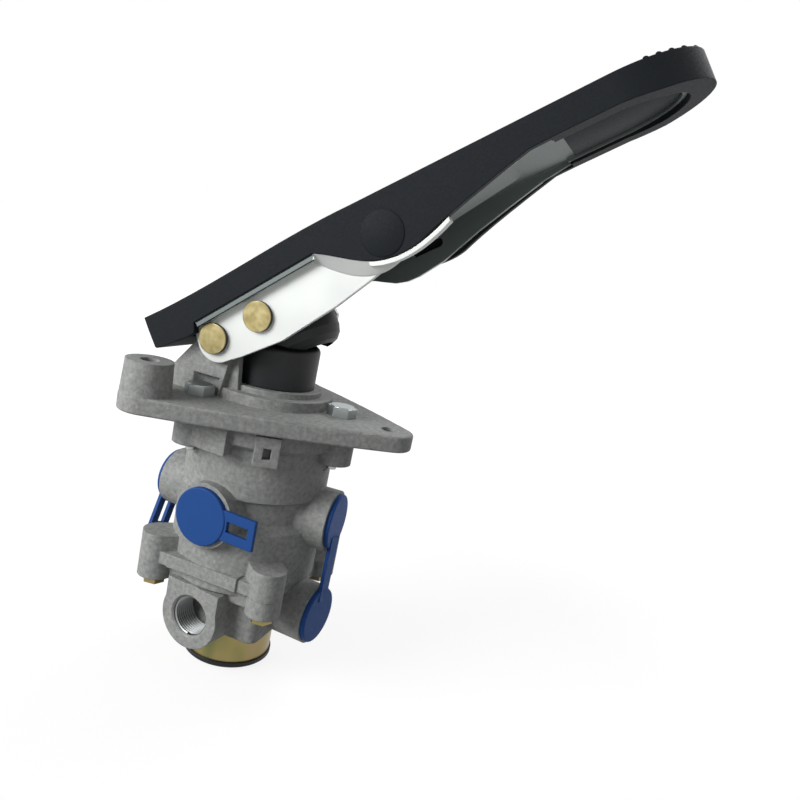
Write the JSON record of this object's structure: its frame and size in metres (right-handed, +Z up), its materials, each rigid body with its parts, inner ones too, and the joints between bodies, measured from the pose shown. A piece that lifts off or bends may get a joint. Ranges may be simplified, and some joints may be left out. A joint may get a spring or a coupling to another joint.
{
  "type": "foot brake valve",
  "caption": "Foot brake valve: hinged treadle with rubber pad over a cast aluminium dual-circuit valve body with capped side ports.",
  "frame": {"origin": "on the valve axis at the underside of the mounting plate, which is the face that rests on the vehicle floor", "axes": "+Z up the valve axis towards the treadle, +X towards the treadle's toe, +Y along the treadle's hinge"},
  "size_m": [0.2292, 0.141, 0.3336],
  "materials": {
    "cast_aluminium": "sand-textured die casting, dull",
    "machined_aluminium": "turned",
    "zinc_steel": "bright zinc plated",
    "zinc_sheet": "bright zinc plated pressed sheet",
    "yellow_zinc": "yellow passivated zinc",
    "gold_zinc": "yellow passivated zinc",
    "spring_steel": "spring wire",
    "bronze": "plain bearing bronze",
    "black_rubber": "moulded, satin",
    "pad_rubber": "moulded, matt",
    "black_plastic": "moulded",
    "blue_plastic": "moulded, satin"
  },
  "bodies": {
    "valve_body": {"mounting_plate": "cast_aluminium", "plate_bolts": "zinc_steel", "upper_housing": "cast_aluminium", "lower_housing": "cast_aluminium", "housing_bolts": "yellow_zinc", "housing_seal": "black_rubber", "exhaust_cap": "yellow_zinc", "exhaust_ring": "black_rubber", "exhaust_flap": "black_rubber", "front_port_cap": "blue_plastic", "left_port_cap": "blue_plastic", "twin_port_cap": "blue_plastic", "guide_bush": "bronze", "rubber_boot": "black_rubber", "graduating_spring": "black_rubber", "piston_return_spring": "spring_steel", "upper_valve_spring": "spring_steel", "upper_retainer": "machined_aluminium", "retainer_clip": "spring_steel", "relay_spring": "spring_steel", "lower_valve_spring": "spring_steel", "fulcrum_pins": "gold_zinc"},
    "treadle": {"treadle_frame": "zinc_sheet", "treadle_pad": "pad_rubber", "roller_pin": "gold_zinc", "roller_pin_clip": "spring_steel", "roller_spacers": "zinc_steel", "roller_hood": "black_rubber"},
    "roller_body": {"roller": "zinc_steel"},
    "plunger_body": {"plunger": "black_plastic"},
    "piston_body": {"primary_piston": "machined_aluminium", "primary_piston_seal": "black_rubber"},
    "upper_valve_body": {"upper_valve": "black_plastic"},
    "relay_body": {"relay_piston": "machined_aluminium", "relay_piston_seal": "black_rubber"},
    "lower_valve_body": {"lower_valve": "black_plastic"}
  },
  "joints": [
    {"name": "treadle_pivot", "type": "hinge", "parent": "valve_body", "child": "treadle", "pos_m": [-0.01716, 0, 0.03645], "axis": [0, 1, 0], "range_deg": [0, 16], "stiffness_Nm_per_rad": 20, "springref_deg": -8.59},
    {"name": "roller_spin", "type": "hinge", "parent": "treadle", "child": "roller_body", "pos_m": [0.00417, 0, 0.05207], "axis": [0, 1, 0], "continuous": true},
    {"name": "plunger_slide", "type": "slide", "parent": "valve_body", "child": "plunger_body", "axis": [0, 0, -1], "range_m": [0, 0.0066], "deforming": ["rubber_boot", "graduating_spring"]},
    {"name": "piston_slide", "type": "slide", "parent": "valve_body", "child": "piston_body", "axis": [0, 0, -1], "range_m": [0, 0.0026], "deforming": ["piston_return_spring"]},
    {"name": "upper_valve_slide", "type": "slide", "parent": "valve_body", "child": "upper_valve_body", "axis": [0, 0, -1], "range_m": [0, 0.0014], "deforming": ["upper_valve_spring"]},
    {"name": "relay_slide", "type": "slide", "parent": "valve_body", "child": "relay_body", "axis": [0, 0, -1], "range_m": [0, 0.0025], "deforming": ["relay_spring"]},
    {"name": "lower_valve_slide", "type": "slide", "parent": "valve_body", "child": "lower_valve_body", "axis": [0, 0, -1], "range_m": [0, 0.0014], "deforming": ["lower_valve_spring"]}
  ],
  "couplings": [
    {"joint": "plunger_slide", "follows": "treadle_pivot", "m_per_rad": 0.02325},
    {"joint": "piston_slide", "follows": "treadle_pivot", "m_per_rad": 0.0089},
    {"joint": "upper_valve_slide", "follows": "treadle_pivot", "m_per_rad": 0.0047},
    {"joint": "relay_slide", "follows": "treadle_pivot", "m_per_rad": 0.0086},
    {"joint": "lower_valve_slide", "follows": "treadle_pivot", "m_per_rad": 0.0045}
  ]
}
